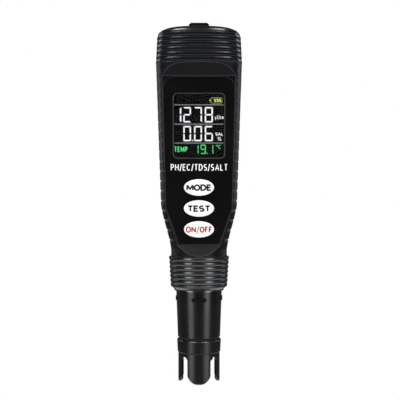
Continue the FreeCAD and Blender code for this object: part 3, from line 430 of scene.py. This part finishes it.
def lit_material(name, colour):
    """A segment that gives off a little of its own light, uneven as a small backlight is."""
    made, tree, shader = new_material(name)
    place = tree.nodes.new("ShaderNodeTexCoord")
    patch = tree.nodes.new("ShaderNodeTexNoise")
    patch.inputs["Scale"].default_value = 180
    blend = colour_mix(tree, colour, [0.93 * c for c in colour])
    tree.links.new(place.outputs["Object"], patch.inputs["Vector"])
    tree.links.new(patch.outputs["Fac"], blend.inputs["Factor"])
    tree.links.new(blend.outputs["Result"], shader.inputs["Base Color"])
    tree.links.new(blend.outputs["Result"], shader.inputs["Emission Color"])
    shader.inputs["Emission Strength"].default_value = SEGMENT_GLOW
    shader.inputs["Roughness"].default_value = 0.5
    return made


lens_glass = glass_material("lens_glass", colour=(0.97, 0.97, 0.98), smooth=0.0, ior=1.2, clear=1.0)
dress(lens_glass, "display_lens")
lcd_glass = skin_material(
    "lcd_glass", colour=(0.012, 0.013, 0.015), worn=(0.016, 0.018, 0.02),
    grain=3000, smudge=60, smooth=0.08, rough=0.16, bump=0.05, specular=0.5,
)
dress(lcd_glass, "lcd_glass")
light_plastic = skin_material(
    "light_plastic", colour=(0.7, 0.72, 0.74), worn=(0.78, 0.79, 0.8),
    grain=3000, smudge=60, smooth=0.2, rough=0.35, bump=0.05, specular=0.5,
)
dress(light_plastic, "lcd_backlight")
plated_contact = metal_material(
    "contact_metal", colour=(0.62, 0.6, 0.52), worn=(0.5, 0.48, 0.42),
    grain=3200, smooth=0.2, rough=0.38,
)
dress(plated_contact, "lcd_pins")


def rounded_loop(left, right, bottom, top, corner):
    """The outline of a box with round corners, in millimetres on the slanted front."""
    steps = 8
    points = []
    for cx, cz, start in (
        (right - corner, top - corner, 0), (left + corner, top - corner, 90),
        (left + corner, bottom + corner, 180), (right - corner, bottom + corner, 270),
    ):
        for i in range(steps + 1):
            turn = math.radians(start + 90 * i / steps)
            points.append((cx + corner * math.cos(turn), cz + corner * math.sin(turn)))
    return points


film_black = skin_material(
    "film_black", colour=(0.0004, 0.0004, 0.0005), worn=(0.0006, 0.0006, 0.0007),
    grain=4000, smudge=80, smooth=0.5, rough=0.6, bump=0.05, specular=0.0,
)
flat_piece(
    "display_film", [rounded_loop(-11.65, 11.65, 0.2, 29.4, 2.0)], FILM_PROUD,
    "housing", film_black,
)
segment_white = lit_material("segment_white", (0.66, 0.67, 0.68))
segment_green = lit_material("segment_green", (0.04, 0.55, 0.14))
segment_yellow = lit_material("segment_yellow", (0.43, 0.53, 0.03))
segment_olive = lit_material("segment_olive", (0.14, 0.16, 0.06))
divider_grey = lit_material("divider_grey", (0.13, 0.13, 0.128))

# The bars that are lit for each figure: a to f clockwise from the top one, and g in the middle
LIT_SEGMENTS = {
    "0": "abcdef", "1": "bc", "2": "abged", "6": "afgedc", "7": "abc", "8": "abcdefg", "9": "abcfgd",
}
ONE_WIDTH = 1.25


def segment_loops(figure, left, right, bottom, top, stroke):
    """Seven bevelled bars of a display figure, as outlines."""
    gap = 0.2 * stroke
    tip = 1.6 * gap
    half = stroke / 2
    middle = (bottom + top) / 2
    bars = {
        "a": [
            (left + gap, top), (right - gap, top), (right - stroke, top - stroke),
            (left + stroke, top - stroke),
        ],
        "d": [
            (left + stroke, bottom + stroke), (right - stroke, bottom + stroke), (right - gap, bottom),
            (left + gap, bottom),
        ],
        "g": [
            (left + half, middle), (left + stroke, middle + half), (right - stroke, middle + half),
            (right - half, middle), (right - stroke, middle - half), (left + stroke, middle - half),
        ],
    }
    for name, x, inward, low, high in (
        ("b", right, -1, middle, top), ("c", right, -1, bottom, middle),
        ("f", left, 1, middle, top), ("e", left, 1, bottom, middle),
    ):
        inner = x + inward * stroke
        top_cut, foot_cut = (half, stroke) if low == bottom else (stroke, half)
        bars[name] = [
            (x, low + tip), (x, high - tip),
            (inner, high - top_cut - gap), (inner, low + foot_cut + gap),
        ]
    return [bars[key] for key in LIT_SEGMENTS[figure]]


def figure_row(name, text, places, bottom, top, stroke, material):
    """A row of lit figures; a 1 is ONE_WIDTH strokes wide and stands at its place's right edge."""
    loops = []
    for figure, (left, right) in zip(text, places):
        if figure == "1":
            left = right - ONE_WIDTH * stroke
        loops += segment_loops(figure, left, right, bottom, top, stroke)
    flat_piece(name, loops, SEGMENT_PROUD, "housing", material)


# Left and right edges of the places for figures, in millimetres
COLUMNS = [(-9.1, -8.0), (-7.1, -3.6), (-2.22, 1.36), (2.6, 6.3)]
GREEN_COLUMNS = [(-1.05, -0.2), (0.75, 3.1), (5.65, 6.5)]
figure_row("upper_figures", "1278", COLUMNS, 16.35, 23.3, stroke=0.66, material=segment_white)
figure_row("lower_figures", "006", COLUMNS[1:], 7.9, 14.8, stroke=0.66, material=segment_white)
figure_row("green_figures", "191", GREEN_COLUMNS, 2.15, 6.35, stroke=0.42, material=segment_green)


def dot_loop(x, z, radius):
    """The outline of a decimal point."""
    sides = 16
    turns = [2 * math.pi * i / sides for i in range(sides)]
    return [(x + radius * math.cos(turn), z + radius * math.sin(turn)) for turn in turns]


def box_loop(left, right, bottom, top):
    """The outline of a box with sharp corners."""
    return [(left, bottom), (right, bottom), (right, top), (left, top)]


DIVIDER_HEIGHTS = (24.3, 15.6, 7.07)
DIVIDER_REACH = 11.1
DIVIDER_HALF = 0.2
flat_piece(
    "lower_point", [dot_loop(-2.9, 8.2, 0.3)], SEGMENT_PROUD, "housing", segment_white,
)
flat_piece(
    "green_point", [dot_loop(3.7, 2.4, 0.25)], SEGMENT_PROUD, "housing", segment_green,
)
flat_piece(
    "display_dividers",
    [
        box_loop(-DIVIDER_REACH, DIVIDER_REACH, height - DIVIDER_HALF, height + DIVIDER_HALF)
        for height in DIVIDER_HEIGHTS
    ],
    SEGMENT_PROUD, "housing", divider_grey,
)


def ring_piece(name, outer, inner, proud, body, material, thickness):
    """A thin closed band between two outlines with the same number of points."""
    mesh = bmesh.new()
    rows = []
    for loop, lift in ((outer, 0), (outer, thickness), (inner, thickness), (inner, 0)):
        rows.append([mesh.verts.new(on_front(x, z, proud + lift)) for x, z in loop])
    count = len(outer)
    for k in range(4):
        here = rows[k]
        following = rows[(k + 1) % 4]
        for i in range(count):
            j = (i + 1) % count
            mesh.faces.new((here[i], here[j], following[j], following[i]))
    bmesh.ops.recalc_face_normals(mesh, faces=mesh.faces)
    finish_piece(name, mesh, body, material)


ring_piece(
    "battery_outline",
    rounded_loop(5.2, 10.6, 24.9, 27.65, 0.8), rounded_loop(5.5, 10.3, 25.2, 27.35, 0.55),
    SEGMENT_PROUD, "housing", segment_olive, FILM_THICKNESS,
)
battery_bars = [
    [(x, 25.55), (x + 0.75, 25.55), (x + 0.3, 27.0), (x - 0.45, 27.0)] for x in (7.1, 8.3, 9.4)
]
battery_nub = box_loop(4.75, 5.15, 25.9, 26.65)
flat_piece(
    "battery_bars", battery_bars + [battery_nub], SEGMENT_PROUD, "housing", segment_yellow,
)


def bow(cx, cy, rx, ry, start, end, steps=10):
    """Points along part of an oval, with angles in degrees from the right."""
    points = []
    for i in range(steps + 1):
        turn = math.radians(start + (end - start) * i / steps)
        points.append((cx + rx * math.cos(turn), cy + ry * math.sin(turn)))
    return points


# Each letter: its width compared with the others, and its pen strokes in a unit box
LETTERS = {
    "A": (0.74, [[(0, 0), (0.5, 1), (1, 0)], [(0.2, 0.33), (0.8, 0.33)]]),
    "C": (0.66, [bow(0.56, 0.5, 0.56, 0.5, 52, 308, 16)]),
    "D": (0.68, [
        [(0, 0), (0, 1), (0.4, 1)] + bow(0.4, 0.5, 0.6, 0.5, 78, -78) + [(0.4, 0), (0, 0)],
    ]),
    "E": (0.5, [[(1, 1), (0, 1), (0, 0), (1, 0)], [(0, 0.53), (0.9, 0.53)]]),
    "F": (0.48, [[(1, 1), (0, 1), (0, 0)], [(0, 0.5), (0.9, 0.5)]]),
    "H": (0.66, [[(0, 0), (0, 1)], [(1, 0), (1, 1)], [(0, 0.52), (1, 0.52)]]),
    "L": (0.48, [[(0, 1), (0, 0), (1, 0)]]),
    "M": (0.84, [[(0, 0), (0, 1)], [(0, 1), (0.5, 0.22), (1, 1)], [(1, 1), (1, 0)]]),
    "N": (0.68, [[(0, 0), (0, 1)], [(0, 1), (1, 0)], [(1, 0), (1, 1)]]),
    "O": (0.76, [bow(0.5, 0.5, 0.5, 0.5, 90, 450, 24)]),
    "P": (0.56, [
        [(0, 0), (0, 1), (0.5, 1)] + bow(0.5, 0.73, 0.5, 0.27, 78, -78) + [(0.5, 0.46), (0, 0.46)],
    ]),
    "S": (0.56, [
        bow(0.5, 0.745, 0.48, 0.255, 40, 250, 10) + bow(0.5, 0.255, 0.5, 0.255, 70, -140, 10),
    ]),
    "T": (0.6, [[(0, 1), (1, 1)], [(0.5, 1), (0.5, 0)]]),
    "/": (0.34, [[(0, -0.14), (1, 1.08)]]),
    "%": (0.9, [
        bow(0.2, 0.78, 0.2, 0.22, 0, 360, 12),
        bow(0.8, 0.22, 0.2, 0.22, 0, 360, 12),
        [(0.15, 0), (0.85, 1)],
    ]),
    "u": (0.5, [[(0, -0.3), (0, 0.66)], bow(0.5, 0.2, 0.5, 0.2, 180, 360, 6) + [(1, 0.66), (1, 0)]]),
    "c": (0.46, [bow(0.56, 0.33, 0.56, 0.33, 52, 308, 10)]),
    "m": (0.8, [
        [(0, 0), (0, 0.66)],
        [(0, 0.5), (0.25, 0.66), (0.5, 0.5), (0.5, 0)],
        [(0.5, 0.5), (0.75, 0.66), (1, 0.5), (1, 0)],
    ]),
    "o": (0.3, [bow(0.5, 0.85, 0.5, 0.15, 90, 450, 12)]),
}
LETTER_GAP = 0.33
SLASH_CLOSER = 0.04
MITRE_LIMIT = 1.8
TOUCHING = 1e-6


def stroke_faces(path, half):
    """The corner points of the plates that make one pen stroke, with mitred bends."""
    closed = math.dist(path[0], path[-1]) < TOUCHING
    points = path[:-1] if closed else path
    count = len(points)
    left = []
    right = []
    for i, point in enumerate(points):
        before = points[i - 1] if closed or i else None
        after = points[(i + 1) % count] if closed or i < count - 1 else None
        ways = []
        for a, b in ((before, point), (point, after)):
            if a and b:
                size = math.dist(a, b)
                ways.append(((a[1] - b[1]) / size, (b[0] - a[0]) / size))
        nx = sum(way[0] for way in ways)
        ny = sum(way[1] for way in ways)
        size = math.hypot(nx, ny)
        reach = half * min(len(ways) / size, MITRE_LIMIT) / size if size > TOUCHING else half
        left.append((point[0] + nx * reach, point[1] + ny * reach))
        right.append((point[0] - nx * reach, point[1] - ny * reach))
    plates = count if closed else count - 1
    return [
        (left[i], left[(i + 1) % count], right[(i + 1) % count], right[i]) for i in range(plates)
    ]


def lettering(name, text, left, right, bottom, top, weight, proud, body, material):
    """Printed or lit letters that fill a box on the slanted front; all lengths are millimetres."""
    tall = top - bottom - weight
    widths = [LETTERS[letter][0] for letter in text]
    gaps = LETTER_GAP * (len(text) - 1)
    for a, b in zip(text, text[1:]):
        if "/" in (a, b):
            gaps -= SLASH_CLOSER
    scale = (right - left - weight - gaps * tall) / sum(widths)
    mesh = bmesh.new()
    here = left + weight / 2
    for i, letter in enumerate(text):
        wide = widths[i] * scale
        for path in LETTERS[letter][1]:
            placed = [(here + px * wide, bottom + weight / 2 + pz * tall) for px, pz in path]
            for corners in stroke_faces(placed, weight / 2):
                mesh.faces.new([mesh.verts.new(on_front(x, z, proud)) for x, z in corners])
        closer = SLASH_CLOSER if "/" in text[i:i + 2] else 0
        here += wide + (LETTER_GAP - closer) * tall
    bmesh.ops.recalc_face_normals(mesh, faces=mesh.faces)
    for face in mesh.faces:
        if face.normal.y > 0:
            face.normal_flip()
    finish_piece(name, mesh, body, material)


for name, text, left, right, bottom, top, weight, material in (
    ("upper_unit", "uS/cm", 7.3, 11.1, 17.9, 19.6, 0.22, segment_white),
    ("lower_unit", "SAL", 7.4, 11.0, 10.4, 11.8, 0.3, segment_white),
    ("lower_percent", "%", 8.4, 10.2, 8.1, 9.9, 0.2, segment_white),
    ("green_label", "TEMP", -11.25, -5.2, 3.0, 5.5, 0.42, segment_green),
    ("green_unit", "oC", 7.75, 10.0, 4.4, 6.25, 0.28, segment_green),
):
    lettering(
        name, text, left, right, bottom, top, weight, SEGMENT_PROUD + PRINT_LIFT, "housing", material,
    )

outline_grey = skin_material(
    "outline_grey", colour=(0.05, 0.05, 0.053), worn=(0.07, 0.07, 0.073),
    grain=3000, smudge=90, smooth=0.35, rough=0.5, bump=0.1, specular=0.4,
)
ring_piece(
    "window_outline",
    rounded_loop(-11.75, 11.75, 0.1, 29.5, 2.1), rounded_loop(-11.5, 11.5, 0.35, 29.25, 1.85),
    LENS_PROUD, "housing", outline_grey, LINE_THICKNESS,
)

# Front plate. A thin fine-matt sheet let into the housing's slanted front, with the window and three
# oval key holes cut out; the row of what the pen measures is screen printed on it in white.
PLATE_PROUD = 0.25
# The plate's edges carry a painted highlight: a dark grey line along them in place of light caught on
# their bevel.
plate_plastic = skin_material(
    "plate_plastic", colour=(0.0016, 0.0016, 0.0018), worn=(0.0024, 0.0024, 0.0026),
    grain=11000, smudge=60, smooth=0.38, rough=0.46, bump=0.2, specular=0.1, edge=0.2,
    edge_highlight=(0.03, 0.03, 0.031),
)
dress(plate_plastic, "front_plate")
print_white = skin_material(
    "print_white", colour=(0.88, 0.88, 0.88), worn=(0.8, 0.8, 0.8),
    grain=6000, smudge=200, smooth=0.45, rough=0.6, bump=0.1, specular=0.3,
)
lettering(
    "measures_row", "PH/EC/TDS/SALT", -12.8, 13.0, -5.4, -2.4, 0.42, PLATE_PROUD + PRINT_LIFT,
    "housing", print_white,
)

# Keys. Three white oval caps, moulded one by one, that stand through the front plate on a flange
# behind it and press the switches; the words are printed on their tops.
KEY_PROUD = 0.95
KEY_HEIGHTS = {"mode_key": -13.05, "hold_key": -22.57, "power_key": -32.09}
key_plastic = skin_material(
    "key_plastic", colour=(0.92, 0.92, 0.915), worn=(0.88, 0.88, 0.87),
    grain=6000, smudge=110, smooth=0.35, rough=0.5, bump=0.12, specular=0.4, edge=0.3,
)
dress(key_plastic, *KEY_HEIGHTS)
print_black = skin_material(
    "print_black", colour=(0.005, 0.005, 0.005), worn=(0.012, 0.012, 0.012),
    grain=6000, smudge=200, smooth=0.45, rough=0.6, bump=0.1, specular=0.2,
)
print_red = skin_material(
    "print_red", colour=(0.42, 0.006, 0.004), worn=(0.36, 0.01, 0.008),
    grain=6000, smudge=200, smooth=0.45, rough=0.6, bump=0.1, specular=0.2,
)
for name, text, body, left, right, half, weight, material in (
    ("mode_word", "MODE", "mode_key", -5.7, 5.7, 1.5, 0.76, print_black),
    ("hold_word", "TEST", "hold_key", -5.3, 5.3, 1.5, 0.76, print_black),
    ("power_on_word", "ON", "power_key", -6.0, -1.3, 1.45, 0.62, print_red),
    ("power_slash", "/", "power_key", -1.15, 0.25, 1.7, 0.35, print_black),
    ("power_off_word", "OFF", "power_key", 0.3, 6.0, 1.45, 0.62, print_red),
):
    middle = KEY_HEIGHTS[body]
    lettering(
        name, text, left, right, middle - half, middle + half, weight, KEY_PROUD + PRINT_LIFT, body,
        material,
    )

# Battery tray and cells. A black moulded tray holds two plain penlight cells on end over nickel-plated
# contacts, one of them a bent leaf; the bridge strip that joins the cells is in the cap.
tray_plastic = skin_material(
    "tray_plastic", colour=(0.02, 0.02, 0.022), worn=(0.03, 0.03, 0.032),
    grain=7000, smudge=80, smooth=0.4, rough=0.6, bump=0.25, specular=0.4,
)
dress(tray_plastic, "battery_tray", "probe_socket", "plug_insert")
dress(plated_contact, "tray_contacts", "cell_spring", "cap_strip", "plug_pins")

SLEEVE_MIDDLE = 33.05 * MM
SLEEVE_REACH = 20.6 * MM


def cell_wrap_material():
    """A dark sleeve with a bare steel shoulder at each end."""
    made = skin_material(
        "cell_steel", colour=(0.03, 0.05, 0.09), worn=(0.04, 0.065, 0.11),
        grain=2200, smudge=60, smooth=0.25, rough=0.4, bump=0.08, specular=0.5,
    )
    tree = made.node_tree
    shader = next(n for n in tree.nodes if n.type == "BSDF_PRINCIPLED")
    skin = next(n for n in tree.nodes if n.type == "GROUP")
    place = next(n for n in tree.nodes if n.type == "TEX_COORD")
    parts = tree.nodes.new("ShaderNodeSeparateXYZ")
    sleeve = math_node(tree, "COMPARE", SLEEVE_MIDDLE)
    sleeve.inputs[2].default_value = SLEEVE_REACH
    paint = colour_mix(tree, first=(0.5, 0.5, 0.49))
    bare = math_node(tree, "SUBTRACT")
    bare.inputs[0].default_value = 1.0
    tree.links.new(place.outputs["Object"], parts.inputs[0])
    tree.links.new(parts.outputs["Z"], sleeve.inputs[0])
    tree.links.new(sleeve.outputs[0], paint.inputs["Factor"])
    tree.links.new(skin.outputs["Colour"], paint.inputs["B"])
    tree.links.new(paint.outputs["Result"], shader.inputs["Base Color"])
    tree.links.new(sleeve.outputs[0], bare.inputs[1])
    tree.links.new(bare.outputs[0], shader.inputs["Metallic"])
    return made


dress(cell_wrap_material(), "left_cell", "right_cell")

# Battery cap. A ribbed cup moulded in black plastic a little glossier than the barrel's, with a lug for
# a wrist strap; it pushes into the barrel's mouth on a rubber seal.
cap_plastic = skin_material(
    "cap_plastic", colour=(0.0026, 0.0033, 0.0048), worn=(0.003, 0.0036, 0.005),
    grain=9000, smudge=70, smooth=0.2, rough=0.26, bump=0.12, specular=0.38,
)
seal_rubber = skin_material(
    "seal_rubber", colour=(0.006, 0.006, 0.006), worn=(0.012, 0.012, 0.012),
    grain=5000, smudge=120, smooth=0.6, rough=0.8, bump=0.3, specular=0.3,
)
dress(cap_plastic, "battery_cap")
dress(seal_rubber, "cap_ring", "probe_seal")

# Ring nut. A ribbed collar in glossier black plastic that screws onto the spigot and lifts the probe's
# flange against its face seal.
ring_nut_plastic = skin_material(
    "ring_nut_plastic", colour=(0.0026, 0.0033, 0.0046), worn=(0.004, 0.0048, 0.006),
    grain=8000, smudge=80, smooth=0.2, rough=0.27, bump=0.1, specular=0.9,
)
dress(ring_nut_plastic, "collar")

# Probe tube and guard. Smooth black mouldings: the tube carries four matt oblong detents for a push-on
# storage cap, and the tongued guard pushes onto the tube's stub over a dark rubber gasket.
probe_plastic = skin_material(
    "probe_plastic", colour=(0.0035, 0.0035, 0.0037), worn=(0.005, 0.005, 0.0052),
    grain=9000, smudge=60, smooth=0.26, rough=0.32, bump=0.12, specular=0.34, edge=0.15,
)
dress(probe_plastic, "probe_body", "sensor_guard")
detent_rubber = skin_material(
    "detent_rubber", colour=(0.0025, 0.0025, 0.0025), worn=(0.004, 0.004, 0.004),
    grain=5000, smudge=120, smooth=0.75, rough=0.9, bump=0.3, specular=0.15,
)
dress(detent_rubber, "detent_pads")
gasket_rubber = skin_material(
    "gasket_rubber", colour=(0.012, 0.012, 0.012), worn=(0.02, 0.02, 0.02),
    grain=4000, smudge=150, smooth=0.5, rough=0.7, bump=0.2, specular=0.3,
)
dress(gasket_rubber, "guard_gasket")

# Sensors. A matt black end plug holds the pH bulb on its glass stem, two steel conductivity pins, a
# steel-capped thermistor and the porous reference junction, all potted in from behind.
boss_plastic = skin_material(
    "boss_plastic", colour=(0.0055, 0.0055, 0.0055), worn=(0.009, 0.009, 0.009),
    grain=8000, smudge=80, smooth=0.5, rough=0.7, bump=0.25, specular=0.35,
)
dress(boss_plastic, "sensor_boss")
sensor_glass = glass_material(
    "sensor_glass", colour=(0.86, 0.92, 0.95), smooth=0.02, ior=1.5, clear=0.85,
)
dress(sensor_glass, "glass_electrode")
silver_wire_metal = metal_material(
    "silver_wire_metal", colour=(0.72, 0.71, 0.69), worn=(0.5, 0.49, 0.47),
    grain=2600, smooth=0.18, rough=0.4,
)
dress(silver_wire_metal, "silver_wire")
sensor_steel = metal_material(
    "sensor_steel", colour=(0.56, 0.56, 0.55), worn=(0.46, 0.46, 0.45),
    grain=3000, smooth=0.18, rough=0.35,
)
dress(sensor_steel, "conductivity_electrodes", "temperature_sensor")
junction_ceramic = skin_material(
    "junction_ceramic", colour=(0.8, 0.78, 0.72), worn=(0.66, 0.63, 0.56),
    grain=2500, smudge=700, smooth=0.7, rough=0.9, bump=0.5, specular=0.3,
)
dress(junction_ceramic, "reference_junction")
sleeve_plastic = skin_material(
    "sleeve_plastic", colour=(0.55, 0.57, 0.55), worn=(0.5, 0.52, 0.5),
    grain=4000, smudge=90, smooth=0.25, rough=0.4, bump=0.1, specular=0.5,
)
dress(sleeve_plastic, "reference_sleeve")
